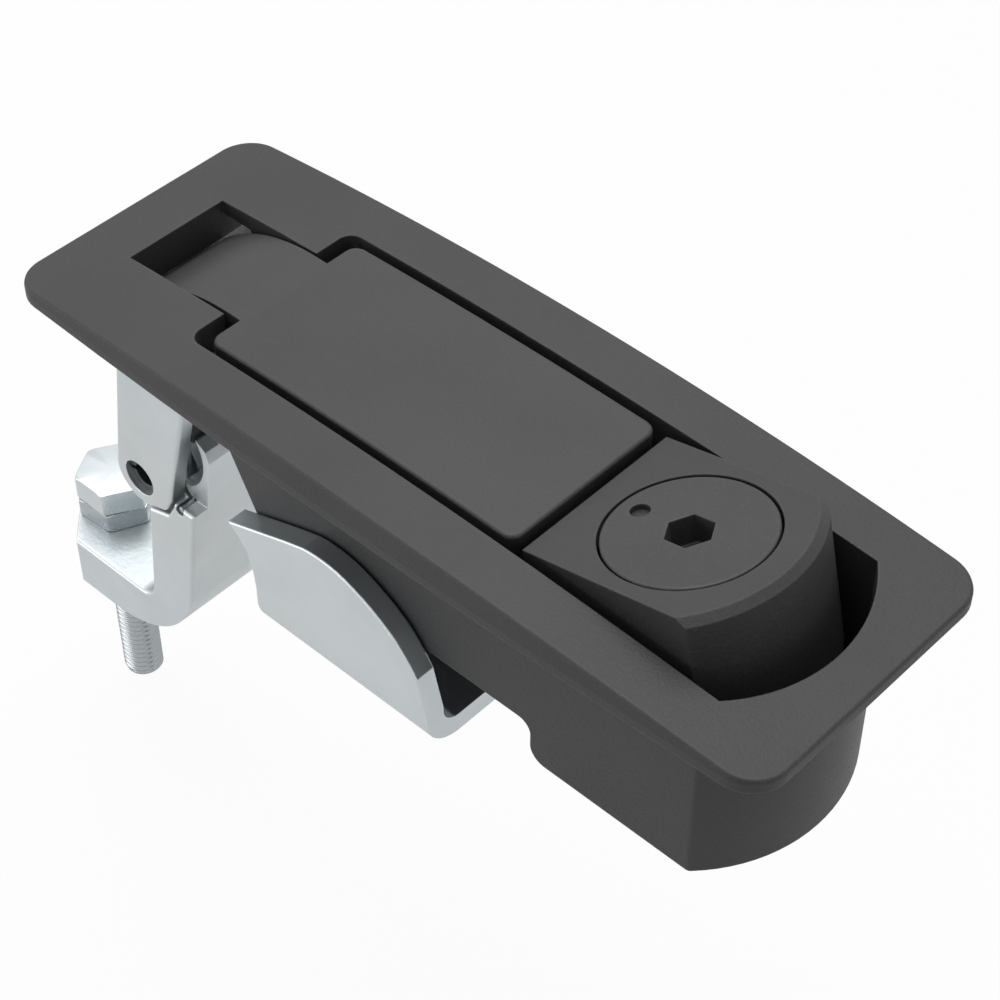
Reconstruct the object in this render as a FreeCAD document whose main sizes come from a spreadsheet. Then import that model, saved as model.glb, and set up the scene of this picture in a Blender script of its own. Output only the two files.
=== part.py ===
"""Flush lever compression latch for a cabinet panel.

Millimetres. The origin is the centre of the bezel's underside, which lies on the panel.
+X runs along the bezel towards the push button, +Z points out of the panel.
"""
import FreeCAD, Part
import math
import os

import Sketcher
from FreeCAD import Rotation, Vector

os.makedirs("parts", exist_ok=True)
doc = FreeCAD.newDocument("lever_compression_latch")
sheet = doc.addObject("Spreadsheet::Sheet", "Sizes")
nodes = []


# Sizes that carry their number and the expression that gives it
class Size:
    """A number together with the sheet expression that it is worked out from."""

    def __init__(self, value, text):
        self.value = value
        self.text = text

    def __add__(self, other):
        other = as_size(other)
        return Size(self.value + other.value, f"({self.text} + {other.text})")

    def __sub__(self, other):
        other = as_size(other)
        return Size(self.value - other.value, f"({self.text} - {other.text})")

    def __mul__(self, other):
        other = as_size(other)
        return Size(self.value * other.value, f"({self.text} * {other.text})")

    def __truediv__(self, other):
        other = as_size(other)
        return Size(self.value / other.value, f"({self.text} / {other.text})")

    def __radd__(self, other):
        return as_size(other) + self

    def __rsub__(self, other):
        return as_size(other) - self

    def __rmul__(self, other):
        return as_size(other) * self

    def __rtruediv__(self, other):
        return as_size(other) / self

    def __neg__(self):
        return Size(-self.value, f"(-1 * {self.text})")


def as_size(number):
    """Give a plain number the same face as a named size."""
    if isinstance(number, Size):
        return number
    return Size(float(number), repr(float(number)))


def root(size):
    """Square root of a size."""
    return Size(math.sqrt(size.value), f"sqrt({size.text})")


def sine(angle):
    """Sine of an angle in degrees."""
    return Size(math.sin(math.radians(angle.value)), f"sin({angle.text})")


def cosine(angle):
    """Cosine of an angle in degrees."""
    return Size(math.cos(math.radians(angle.value)), f"cos({angle.text})")


def named(alias, value):
    """Store one driving dimension in the sheet and return it."""
    named.row += 1
    cell = f"A{named.row}"
    sheet.set(cell, str(value))
    sheet.setAlias(cell, alias)
    return Size(float(value), f"Sizes.{alias}")


named.row = 0

# Bezel, with bowed long sides and a top that is crowned along its length
bezel_length = 114.0
bezel_end_half_width = 19.4
bezel_bow = 1.1
bezel_corner = 4.8
bezel_lip = 1.2
bezel_draft = 10.0
bezel_edge = 0.35
crown_height = 4.06
crown_end_height = 1.74

# Openings in the bezel
recess_left = -48.65
recess_half_width = 7.46
opening_left = -32.0
opening_half_width = 13.1
opening_corner = 1.9
end_arc_centre = 31.7
end_arc_radius = 20.0

# Tub below the bezel
side_wall = 2.0
end_wall = 1.0
floor_wall = 2.0
shallow_depth = 18.7
deep_depth = 24.4
step_place = 23.4
step_inner_radius = 1.8
step_outer_radius = 2.2
tub_corner = 0.9
slant_top_place = -24.2
slant_top_depth = 7.9
slant_bottom_place = -18.8
shoulder_depth = 2.9
rib_depth = 3.1
rib_wall = 2.0
apron_radius = 9.6
apron_wall = 1.2
apron_depth = 5.5
apron_overlap = 6.5
apron_end_depth = 7.2
seat_relief = 0.4
slant_roof = 1.6
slant_wall = 1.3
shoulder_roof = 1.6
hub_slot_reach = 7.0
blind_wall = 0.8

# Pivots
lever_pivot_place = -40.8
lever_pivot_depth = 8.6
pawl_pivot_place = -51.3
pawl_pivot_depth = 35.5
button_pivot_place = 22.3
button_pivot_depth = 11.2
button_tilt = 13.4
running_gap = 0.05
fixed_gap = 0.02
side_gap = 0.3

# Lever pin and the cheeks that hold it
lever_pin_radius = 2.0
cheek_radius = 3.8
cheek_wall = 1.9
cheek_inner = 9.3
pin_head_radius = 2.6
pin_head_height = 0.8

# Lever
lever_left = -29.9
lever_right = 17.7
lever_half_width = 11.9
lever_corner = 1.7
lever_edge = 0.45
lever_skirt = 1.8
lever_skirt_depth = 1.6
lever_plate = 2.8
lever_rib = 1.6
tongue_half_width = 7.0
tongue_end_place = -48.2
tongue_end_depth = 3.0
tongue_radius = 25.0
tongue_skin = 1.4
hub_half_width = 6.3
hub_radius = 7.0
tail_right = -42.35
tail_left = -49.0
tail_depth = 25.2
catch_height = 4.4
catch_half_width = 5.0
catch_depth = 2.2
swing_radius = 15.25
tongue_setback = 1.5
tongue_sink = 0.15
hub_back = 1.4
tail_height = 4.0
tail_bevel = 1.0
catch_wall = 0.8
catch_lip = 1.6

# Arms
arm_inner = 6.6
arm_thickness = 2.3
arm_head_radius = 7.2
arm_foot_radius = 4.5
arm_edge = 0.5
arm_shoulder_reach = 11.2
arm_shoulder_rise = 0.2
arm_back_reach = 11.5
arm_back_drop = 3.4
arm_waist_reach = 0.8
arm_waist_drop = 6.0
arm_side_reach = 5.95
arm_side_drop = 0.7
arm_heel_reach = 4.7
arm_heel_drop = 3.1
drive_pin_radius = 1.5
drive_pin_place = -46.2
drive_pin_depth = 12.6
pawl_pin_radius = 2.68
pawl_pin_bore = 1.75
pawl_pin_slit = 0.7
pawl_pin_recess = 0.9

# Pawl
pawl_web_half_width = 6.35
pawl_boss_half_width = 2.9
pawl_boss_radius = 4.9
coil_room = 5.2
pocket_radius = 7.15
pocket_place = -48.0
pocket_depth = 28.0
foot_bottom_depth = 67.6
foot_thickness = 8.0
foot_tip_place = -75.2
foot_shoulder_place = -68.6
heel_radius = 18.5
heel_place = -43.7
foot_start = -61.5
pawl_edge = 0.5
pawl_inner_corner = 3.0
foot_corner = 3.5
post_left_reach = 0.9
post_right_reach = 10.4
post_shoulder_drop = 0.4
horn_tip_reach = 9.4
horn_tip_rise = 11.2
horn_crest_reach = 11.1
horn_crest_rise = 10.0
horn_back_reach = 11.7
horn_back_rise = 8.3
web_root_drop = 6.9
web_right_reach = 9.4
web_left_reach = 0.8
web_lip_reach = 1.1
web_lip_drop = 3.5
ledge_start_drop = 4.85
ledge_mid_reach = 5.0
ledge_mid_drop = 3.55
ledge_side_reach = 6.35
ledge_side_drop = 1.1
ledge_end_reach = 6.6

# Adjusting bolt and its jam nut
bolt_place = -69.5
bolt_radius = 2.95
bolt_head_flats = 10.0
bolt_head_height = 4.0
jam_nut_height = 3.2
bolt_length = 37.6

# Clamp bracket
bracket_inner = 15.4
bracket_thickness = 2.8
bracket_bottom_depth = 32.3
bracket_left = -17.9
bracket_right = 10.3
bracket_bend = 2.6
bracket_edge = 0.25
leg_tip_reach = 4.1
leg_tip_depth = 16.2
leg_neck_reach = 2.4
leg_neck_depth = 17.7
leg_hollow_reach = 1.2
leg_hollow_depth = 19.4
leg_flare_reach = 0.45
leg_flare_depth = 22.0
leg_left_depth = 26.1
leg_right_depth = 26.2
leg_side_reach = 1.5
leg_side_depth = 20.4
leg_bow_reach = 4.9
leg_bow_depth = 16.0
leg_bow_radius = 22.0
leg_crown_reach = 12.8
leg_crown_depth = 11.75
leg_crown_radius = 14.0
leg_top_reach = 8.9
leg_top_depth = 11.5
leg_slope_reach = 5.9
leg_slope_depth = 12.5
clamp_screw_place = -3.8
clamp_screw_radius = 2.45
clamp_head_flats = 8.0
clamp_head_height = 3.5
washer_radius = 5.0
washer_height = 1.0
boss_radius = 5.0
boss_depth = 26.5

# Push button, in its own frame: the origin is the left edge of its top face
button_place = 18.9
button_height = 3.3
button_half_width = 11.75
button_arc_centre = 9.7
button_arc_radius = 17.3
button_plate = 6.8
button_wall = 2.0
button_skirt = 17.9
button_bevel = 0.9
button_lug_radius = 3.0
button_pin_radius = 1.5
nose_reach = 2.2
nose_depth = 5.9
nose_height = 1.8
nose_half_width = 4.4

# Lock plug, in the button's frame
plug_place = 13.24
plug_radius = 9.6
plug_gap = 0.3
plug_head = 4.2
plug_edge = 0.25
stem_radius = 6.0
socket_flats = 5.0
socket_depth = 3.6
dimple_place = 6.9
dimple_radius = 1.15
dimple_depth = 0.8
ring_thickness = 1.0
ring_radius = 6.8
ring_groove_radius = 5.0
cam_seat = 7.0
cam_thickness = 2.0
cam_hub_radius = 5.1
cam_reach = 9.3
cam_half_width = 2.8
cam_screw_radius = 2.0
cam_screw_head_radius = 3.6
cam_screw_head_height = 2.2
cam_screw_length = 5.4

# Springs
button_spring_place = 41.0
button_spring_side = -6.4
button_spring_radius = 2.5
button_spring_wire = 0.35
button_spring_turns = 8.0
button_spring_length = 21.3
pawl_spring_radius = 3.75
pawl_spring_wire = 0.45
pawl_spring_pitch = 1.2
pawl_spring_turns = 1.849
coil_start_side = 3.45
leg_end_place = -43.6
leg_end_depth = 36.4
post_place = 42.7
post_thickness = 2.0
post_half_width = 3.0
post_top_depth = 3.2

# Each number above goes into the sheet under its own name, and from here on the name stands for its cell
for alias, number in list(globals().items()):
    if isinstance(number, float):
        globals()[alias] = named(alias, number)
doc.recompute()

# Places worked out from the sizes
half_length = bezel_length / 2
bow_radius = (half_length * half_length + bezel_bow * bezel_bow) / (2 * bezel_bow)
crown_drop = crown_height - crown_end_height
crown_radius = (half_length * half_length + crown_drop * crown_drop) / (2 * crown_drop)
tub_half_width = opening_half_width + side_wall
tub_end_radius = end_arc_radius + end_wall
tub_left = opening_left - side_wall
corner_reach = root(end_arc_radius * end_arc_radius - opening_half_width * opening_half_width)
opening_corner_place = end_arc_centre + corner_reach
tub_reach = root(tub_end_radius * tub_end_radius - tub_half_width * tub_half_width)
tub_corner_place = end_arc_centre + tub_reach
arm_outer = arm_inner + arm_thickness
foot_top_depth = foot_bottom_depth - foot_thickness
head_underside = -(foot_top_depth - jam_nut_height)
coil_end_side = coil_start_side + pawl_spring_pitch * pawl_spring_turns


def crown_at(place):
    """Height of the crowned top face at a place along X."""
    return crown_height - crown_radius + root(crown_radius * crown_radius - place * place)


def check(feature):
    """Recompute and stop if a feature failed."""
    doc.recompute()
    if "Invalid" in feature.State or "Error" in feature.State:
        raise RuntimeError(f"{feature.Name} failed: {feature.State}")
    return feature


def new_body(label):
    """Start one cast, pressed or bent piece."""
    body = doc.addObject("PartDesign::Body", label)
    body.Label = label
    nodes.append(body)
    return body


def origin_plane(body, role):
    """One of the body's own origin planes."""
    for feature in body.Origin.OriginFeatures:
        if feature.Role == role:
            return feature
    raise RuntimeError(f"no {role}")


def new_sketch(body, name, plane, offset):
    """Sketch on an origin plane, shifted along the plane's normal."""
    sketch = body.newObject("Sketcher::SketchObject", name)
    sketch.AttachmentSupport = [(origin_plane(body, plane), "")]
    sketch.MapMode = "FlatFace"
    if offset is not None:
        offset = as_size(offset)
        sketch.AttachmentOffset = FreeCAD.Placement(Vector(0, 0, offset.value), Rotation())
        sketch.setExpression("AttachmentOffset.Base.z", offset.text)
    return sketch


def dimension(sketch, kind, arguments, size):
    """Add a dimension to a sketch and bind it to the sheet."""
    index = sketch.addConstraint(Sketcher.Constraint(kind, *arguments, size.value))
    sketch.setExpression(f"Constraints[{index}]", size.text)


def add_side(sketch, start, end, radius):
    """Add a straight side, or an arc that turns left for a positive radius and right for a negative one."""
    first = Vector(start[0].value, start[1].value, 0)
    last = Vector(end[0].value, end[1].value, 0)
    if radius is None:
        return sketch.addGeometry(Part.LineSegment(first, last), False), 1, 2
    chord = last - first
    across = Vector(-chord.y, chord.x, 0)
    across.normalize()
    rise = math.sqrt(max(radius.value ** 2 - (chord.Length / 2) ** 2, 0.0))
    centre = (first + last) / 2 + across * math.copysign(rise, radius.value)
    turn = Part.Circle(centre, Vector(0, 0, 1), abs(radius.value))
    start_angle = math.atan2(first.y - centre.y, first.x - centre.x)
    end_angle = math.atan2(last.y - centre.y, last.x - centre.x)
    if radius.value > 0:
        return sketch.addGeometry(Part.ArcOfCircle(turn, start_angle, end_angle), False), 1, 2
    return sketch.addGeometry(Part.ArcOfCircle(turn, end_angle, start_angle), False), 2, 1


def draw_outline(sketch, corners):
    """Draw one closed outline; a corner's third value is the radius of the side that leaves it."""
    points = []
    for corner in corners:
        points.append((as_size(corner[0]), as_size(corner[1])))
    sides = []
    for index, corner in enumerate(corners):
        radius = as_size(corner[2]) if len(corner) > 2 else None
        following = points[(index + 1) % len(points)]
        sides.append(add_side(sketch, points[index], following, radius) + (radius,))
    for index, (curve, _, tail, _) in enumerate(sides):
        following, head, _, _ = sides[(index + 1) % len(sides)]
        sketch.addConstraint(Sketcher.Constraint("Coincident", curve, tail, following, head))
    for (x_place, y_place), (curve, head, _, radius) in zip(points, sides):
        dimension(sketch, "DistanceX", (-1, 1, curve, head), x_place)
        dimension(sketch, "DistanceY", (-1, 1, curve, head), y_place)
        if radius is not None:
            length = radius if radius.value > 0 else -radius
            dimension(sketch, "Radius", (curve,), length)


def outline(body, name, plane, corners, offset=None):
    """A sketch with one closed outline."""
    sketch = new_sketch(body, name, plane, offset)
    draw_outline(sketch, corners)
    return check(sketch)


def circle(body, name, plane, x_place, y_place, radius, offset=None):
    """A sketch with one circle."""
    sketch = new_sketch(body, name, plane, offset)
    x_place = as_size(x_place)
    y_place = as_size(y_place)
    centre = Vector(x_place.value, y_place.value, 0)
    curve = sketch.addGeometry(Part.Circle(centre, Vector(0, 0, 1), radius.value), False)
    dimension(sketch, "Radius", (curve,), radius)
    dimension(sketch, "DistanceX", (-1, 1, curve, 3), x_place)
    dimension(sketch, "DistanceY", (-1, 1, curve, 3), y_place)
    return check(sketch)


def extrude(kind, body, sketch, length, symmetric, backwards):
    """Pad or pocket a sketch and check that the solid's volume changed."""
    before = body.Shape.Volume if body.Tip else 0.0
    feature = body.newObject(kind, sketch.Name + "_" + kind.split("::")[1].lower())
    feature.Profile = sketch
    feature.SideType = "Symmetric" if symmetric else "One side"
    feature.Reversed = backwards
    length = as_size(length)
    feature.Length = length.value
    feature.setExpression("Length", length.text)
    check(feature)
    grown = body.Shape.Volume - before
    if (grown > 0) != (kind == "PartDesign::Pad") or abs(grown) < 1e-6:
        raise RuntimeError(f"{feature.Name} changes the volume by {grown}")
    return feature


def pad(body, sketch, length, symmetric=False, backwards=False):
    """Add material."""
    return extrude("PartDesign::Pad", body, sketch, length, symmetric, backwards)


def pocket(body, sketch, length, symmetric=False, backwards=False):
    """Take material away."""
    return extrude("PartDesign::Pocket", body, sketch, length, symmetric, backwards)


def edges_where(shape, wanted):
    """Names of the edges that pass a test on their ends and middle."""
    names = []
    for index, edge in enumerate(shape.Edges):
        if len(edge.Vertexes) < 1:
            continue
        middle = edge.valueAt((edge.FirstParameter + edge.LastParameter) / 2)
        if wanted(edge, middle):
            names.append(f"Edge{index + 1}")
    return names


def is_along(edge, axis):
    """Whether an edge is straight and parallel to an axis."""
    if edge.Curve.TypeId != "Part::GeomLine":
        return False
    return abs(abs(edge.Curve.Direction.dot(axis)) - 1) < 1e-6


def blend(kind, body, name, wanted, size):
    """Round or bevel the wanted edges."""
    base = body.Tip
    names = edges_where(base.Shape, wanted)
    if not names:
        raise RuntimeError(f"{name} found no edge")
    feature = body.newObject(kind, name)
    feature.Base = (base, names)
    prop = "Radius" if kind == "PartDesign::Fillet" else "Size"
    setattr(feature, prop, size.value)
    feature.setExpression(prop, size.text)
    return check(feature)


def fillet(body, name, wanted, size):
    """Round edges."""
    return blend("PartDesign::Fillet", body, name, wanted, size)


def chamfer(body, name, wanted, size):
    """Bevel edges at 45 degrees."""
    return blend("PartDesign::Chamfer", body, name, wanted, size)


def near(first, second, tolerance=0.02):
    """Whether two numbers agree."""
    return abs(first - second) < tolerance


def cut_crown(body, name, half_span, half_width):
    """Trim a body's top to the crowned face."""
    top = crown_height + 6
    corners = [
        (-half_span, crown_at(half_span), -crown_radius),
        (half_span, crown_at(half_span)),
        (half_span, top),
        (-half_span, top),
    ]
    sketch = outline(body, name, "XZ_Plane", corners)
    return pocket(body, sketch, 2 * half_width, symmetric=True)


AXIS_X = Vector(1, 0, 0)
AXIS_Y = Vector(0, 1, 0)
AXIS_Z = Vector(0, 0, 1)


# Pan: one black casting with the bezel, the tub, the pivot cheeks and the clamp screw's boss
def make_pan():
    """Build the housing."""
    body = new_body("pan")
    rim = [
        (-half_length, -bezel_end_half_width, bow_radius),
        (half_length, -bezel_end_half_width),
        (half_length, bezel_end_half_width, bow_radius),
        (-half_length, bezel_end_half_width),
    ]
    pad(body, outline(body, "rim", "XY_Plane", rim), bezel_lip)
    upper = outline(body, "rim_upper", "XY_Plane", rim, offset=bezel_lip)
    slope = pad(body, upper, crown_height)
    slope.TaperAngle = -bezel_draft.value
    slope.setExpression("TaperAngle", (-bezel_draft).text)
    check(slope)

    def is_rim_corner(edge, middle):
        if len(edge.Vertexes) < 2:
            return False
        rise = abs(edge.Vertexes[0].Z - edge.Vertexes[1].Z)
        return rise > 0.5 and abs(middle.x) > half_length.value - 3

    fillet(body, "bezel_corners", is_rim_corner, bezel_corner)
    half_span = half_length + 3
    cut_crown(body, "crown", half_span, bezel_end_half_width + bezel_bow + 3)

    def is_bezel_top_edge(edge, middle):
        top = crown_at(as_size(min(abs(middle.x), half_span.value))).value
        side = abs(middle.y) > bezel_end_half_width.value - 2 * bezel_corner.value
        side = side or abs(middle.x) > half_length.value - 2
        return side and near(middle.z, top, 0.05)

    fillet(body, "bezel_top_edge", is_bezel_top_edge, bezel_edge)
    tub = [
        (tub_left, -tub_half_width),
        (tub_corner_place, -tub_half_width, tub_end_radius),
        (tub_corner_place, tub_half_width),
        (tub_left, tub_half_width),
    ]
    pad(body, outline(body, "tub", "XY_Plane", tub), deep_depth, backwards=True)
    below = deep_depth + 4
    outside = [
        (tub_left - 3, -shoulder_depth),
        (tub_left, -shoulder_depth),
        (slant_top_place, -slant_top_depth),
        (slant_bottom_place, -shallow_depth),
        (step_place, -shallow_depth),
        (step_place, -below),
        (tub_left - 3, -below),
    ]
    pocket(body, outline(body, "tub_below", "XZ_Plane", outside), 4 * tub_half_width, symmetric=True)

    def is_tub_corner(edge, middle):
        return is_along(edge, AXIS_Z) and near(middle.x, tub_corner_place.value) and middle.z < 0

    fillet(body, "tub_corners", is_tub_corner, tub_corner)

    def is_step_inner(edge, middle):
        return is_along(edge, AXIS_Y) and near(middle.x, step_place.value) \
            and near(middle.z, -shallow_depth.value)

    fillet(body, "step_inner", is_step_inner, step_inner_radius)

    def is_step_outer(edge, middle):
        return is_along(edge, AXIS_Y) and near(middle.x, step_place.value) \
            and near(middle.z, -deep_depth.value)

    fillet(body, "step_outer", is_step_outer, step_outer_radius)
    boss = circle(body, "boss", "XY_Plane", clamp_screw_place, 0, boss_radius, offset=-boss_depth)
    pad(body, boss, boss_depth - shallow_depth + floor_wall / 2)
    rib = [
        (recess_left - rib_wall, -rib_depth),
        (recess_left, -rib_depth),
        (recess_left, bezel_lip),
        (recess_left - rib_wall, bezel_lip),
    ]
    pad(body, outline(body, "rib", "XZ_Plane", rib), 2 * (recess_half_width + apron_overlap), symmetric=True)
    make_apron(body, "apron", recess_half_width + apron_overlap, apron_depth)
    make_apron(body, "apron_middle", hub_half_width - fixed_gap, lever_pivot_depth)
    make_apron(body, "apron_end_near", recess_half_width + apron_overlap, apron_end_depth, -1)
    make_apron(body, "apron_end_far", recess_half_width + apron_overlap, apron_end_depth, 1)
    for side in (-1, 1):
        make_cheek(body, side)
    make_openings(body)
    return body


def make_apron(body, name, half_width, depth, side=0):
    """A curved wall under the rib that hides the pawl's side of the recess and clears the swinging tongue.

    It runs across the middle, or outside the arms on one side: -1 for the near one and 1 for the far one.
    """
    outer_radius = apron_radius + apron_wall

    def beside(radius, below):
        rise = lever_pivot_depth - below
        return lever_pivot_place - root(radius * radius - rise * rise)

    top = rib_depth - fixed_gap
    wall = [
        (beside(outer_radius, top), -top, outer_radius),
        (beside(outer_radius, depth), -depth),
        (beside(apron_radius, depth), -depth, -apron_radius),
        (beside(apron_radius, top), -top),
    ]
    if side == 0:
        pad(body, outline(body, name, "XZ_Plane", wall), 2 * half_width, symmetric=True)
        return
    start = half_width if side < 0 else -cheek_inner
    pad(body, outline(body, name, "XZ_Plane", wall, offset=start), half_width - cheek_inner, backwards=True)


def make_cheek(body, side):
    """One of the two plates that hold the lever pin."""
    cheek = [
        (lever_pivot_place - cheek_radius - 2, bezel_lip / 2),
        (lever_pivot_place - cheek_radius, -lever_pivot_depth, cheek_radius),
        (lever_pivot_place + cheek_radius, -lever_pivot_depth),
        (tub_left + side_wall, -shoulder_depth - 1),
        (tub_left + side_wall, bezel_lip / 2),
    ]
    start = cheek_inner + cheek_wall if side < 0 else -cheek_inner
    name = "cheek_near" if side < 0 else "cheek_far"
    pad(body, outline(body, name, "XZ_Plane", cheek, offset=start), cheek_wall, backwards=True)


def make_openings(body):
    """Cut the openings, the tub's hollow, and the bores out of the pan."""
    opening = [
        (recess_left, -recess_half_width),
        (opening_left, -recess_half_width),
        (opening_left, -opening_half_width),
        (opening_corner_place, -opening_half_width, end_arc_radius),
        (opening_corner_place, opening_half_width),
        (opening_left, opening_half_width),
        (opening_left, recess_half_width),
        (recess_left, recess_half_width),
    ]
    bezel_cut = outline(body, "bezel_opening", "XY_Plane", opening, offset=-0.01)
    pocket(body, bezel_cut, crown_height + 1, backwards=True)
    deep_start = step_place + side_wall
    deep_floor = deep_depth - floor_wall
    shallow_floor = shallow_depth - floor_wall
    deep = [
        (deep_start, -opening_half_width),
        (opening_corner_place, -opening_half_width, end_arc_radius),
        (opening_corner_place, opening_half_width),
        (deep_start, opening_half_width),
    ]
    pocket(body, outline(body, "deep_hollow", "XY_Plane", deep), deep_floor)
    inner = [
        (opening_left, 0.1),
        (opening_left, -shoulder_depth + shoulder_roof),
        (slant_top_place + slant_wall, -slant_top_depth + slant_roof),
        (slant_bottom_place + slant_wall, -shallow_floor),
        (deep_start + 1, -shallow_floor),
        (deep_start + 1, 0.1),
    ]
    hollow = outline(body, "shallow_hollow", "XZ_Plane", inner)
    pocket(body, hollow, 2 * opening_half_width, symmetric=True)

    def is_opening_corner(edge, middle):
        return is_along(edge, AXIS_Z) and near(middle.x, opening_left.value) \
            and near(abs(middle.y), opening_half_width.value)

    fillet(body, "opening_corners", is_opening_corner, opening_corner)
    slot = [
        (tub_left - 1, -cheek_inner),
        (tub_left + hub_slot_reach, -cheek_inner),
        (tub_left + hub_slot_reach, cheek_inner),
        (tub_left - 1, cheek_inner),
    ]
    pocket(body, outline(body, "hub_slot", "XY_Plane", slot, offset=-0.01), slant_top_depth)
    relief = [
        (recess_left, -cheek_inner),
        (tub_left, -cheek_inner),
        (tub_left, cheek_inner),
        (recess_left, cheek_inner),
    ]
    sketch = outline(body, "seat_relief", "XY_Plane", relief, offset=-0.01)
    pocket(body, sketch, seat_relief + 0.01, backwards=True)
    post = [
        (post_place, -post_half_width),
        (post_place + post_thickness, -post_half_width),
        (post_place + post_thickness, post_half_width),
        (post_place, post_half_width),
    ]
    post_base = outline(body, "lock_post", "XY_Plane", post, offset=-(deep_floor + 0.5))
    pad(body, post_base, deep_floor + 0.5 - post_top_depth)
    seat = circle(body, "spring_seat", "XY_Plane", button_spring_place, button_spring_side,
                  button_spring_radius - 2 * button_spring_wire, offset=-(deep_floor + 0.5))
    pad(body, seat, 3)
    bore_radius = lever_pin_radius + fixed_gap
    bore = circle(body, "lever_pin_bore", "XZ_Plane", lever_pivot_place, -lever_pivot_depth, bore_radius)
    pocket(body, bore, 4 * tub_half_width, symmetric=True)
    blind = tub_half_width - blind_wall
    bore = circle(body, "button_pin_bore", "XZ_Plane", button_pivot_place, -button_pivot_depth,
                  button_pin_radius + fixed_gap, offset=blind)
    pocket(body, bore, 3 * tub_half_width)
    bore = circle(body, "clamp_screw_bore", "XY_Plane", clamp_screw_place, 0,
                  clamp_screw_radius + running_gap, offset=-boss_depth)
    pocket(body, bore, boss_depth - shallow_floor - blind_wall, backwards=True)


# Lever: one black casting with the flush plate, the tongue and the hub that stands between the arms
def make_lever():
    """Build the lever."""
    body = new_body("lever")
    plate = [
        (lever_left, -lever_half_width),
        (lever_right, -lever_half_width),
        (lever_right, lever_half_width),
        (lever_left, lever_half_width),
    ]
    plate_sketch = outline(body, "plate", "XY_Plane", plate, offset=-lever_skirt_depth)
    pad(body, plate_sketch, crown_height + lever_skirt_depth + 1)

    def is_plate_corner(edge, middle):
        return is_along(edge, AXIS_Z)

    fillet(body, "plate_corners", is_plate_corner, lever_corner)
    cut_crown(body, "plate_crown", half_length, lever_half_width + 2)

    def is_plate_top(edge, middle):
        return near(middle.z, crown_at(as_size(middle.x)).value, 0.05)

    fillet(body, "plate_edge", is_plate_top, lever_edge)
    hollow_top = crown_end_height - lever_plate + 1.4
    for side in (-1, 1):
        inner = lever_rib / 2 * side
        outer = (lever_half_width - lever_skirt) * side
        name = "hollow_near" if side < 0 else "hollow_far"
        hollow = [
            (lever_left + 2 * lever_skirt, inner),
            (lever_left + 2 * lever_skirt, outer),
            (lever_right - lever_skirt, outer),
            (lever_right - lever_skirt, inner),
        ]
        if side < 0:
            hollow.reverse()
        sketch = outline(body, name, "XY_Plane", hollow, offset=-(lever_skirt_depth + 0.01))
        pocket(body, sketch, lever_skirt_depth + hollow_top, backwards=True)
    root_place = lever_left + lever_skirt
    top_height = crown_at(root_place) - tongue_sink
    skin = [
        (root_place, top_height),
        (lever_left - tongue_setback, crown_at(lever_left - tongue_setback), tongue_radius),
        (tongue_end_place, -tongue_end_depth),
        (tongue_end_place + tongue_skin * 0.8, -(tongue_end_depth + tongue_skin * 0.6), -tongue_radius),
        (lever_left - tongue_setback, crown_at(lever_left - tongue_setback) - tongue_skin),
        (root_place, crown_at(root_place) - lever_plate),
    ]
    pad(body, outline(body, "tongue", "XZ_Plane", skin), 2 * tongue_half_width, symmetric=True)
    hub = [
        (root_place, top_height - 1),
        (lever_left - tongue_setback, crown_at(lever_left - tongue_setback) - 0.6, tongue_radius),
        (tongue_end_place + 0.5, -(tongue_end_depth + 0.35)),
        (lever_pivot_place - hub_radius - hub_back, -lever_pivot_depth),
        (tail_left, -tail_depth + tail_bevel),
        (tail_left + 1.5 * tail_bevel, -tail_depth),
        (tail_right, -tail_depth),
        (tail_right, -tail_depth + tail_height),
        (lever_pivot_place + hub_radius * 0.6, -(lever_pivot_depth + hub_radius * 0.8), hub_radius),
        (lever_pivot_place + hub_radius, -lever_pivot_depth),
        (root_place, -lever_skirt_depth + 0.4),
    ]
    pad(body, outline(body, "hub", "XZ_Plane", hub), 2 * hub_half_width, symmetric=True)
    catch = [
        (lever_right - catch_depth, -catch_half_width),
        (lever_right, -catch_half_width),
        (lever_right, catch_half_width),
        (lever_right - catch_depth, catch_half_width),
    ]
    catch_base = outline(body, "catch", "XY_Plane", catch, offset=-(lever_skirt_depth + catch_height))
    pad(body, catch_base, catch_height + 1)
    notch = [
        (lever_right - catch_depth + catch_wall, -(lever_skirt_depth + catch_height - catch_lip)),
        (lever_right + 1, -(lever_skirt_depth + catch_height - catch_lip)),
        (lever_right + 1, -lever_skirt_depth + 0.6),
        (lever_right - catch_depth + catch_wall, -lever_skirt_depth + 0.6),
    ]
    notch_sketch = outline(body, "catch_notch", "XZ_Plane", notch)
    pocket(body, notch_sketch, 2 * (catch_half_width - 0.4), symmetric=True)
    for side in (-1, 1):
        start = lever_half_width + 1 if side < 0 else -(tongue_half_width + 0.1)
        name = "swing_relief_near" if side < 0 else "swing_relief_far"
        relief = circle(body, name, "XZ_Plane", lever_pivot_place, -lever_pivot_depth, swing_radius, offset=start)
        pocket(body, relief, lever_half_width - tongue_half_width + 0.9)
    bore = circle(body, "pivot_bore", "XZ_Plane", lever_pivot_place, -lever_pivot_depth,
                  lever_pin_radius + running_gap)
    pocket(body, bore, 4 * hub_half_width, symmetric=True)
    bore = circle(body, "drive_bore", "XZ_Plane", drive_pin_place, -drive_pin_depth,
                  drive_pin_radius + fixed_gap)
    pocket(body, bore, 4 * hub_half_width, symmetric=True)
    return body


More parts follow.
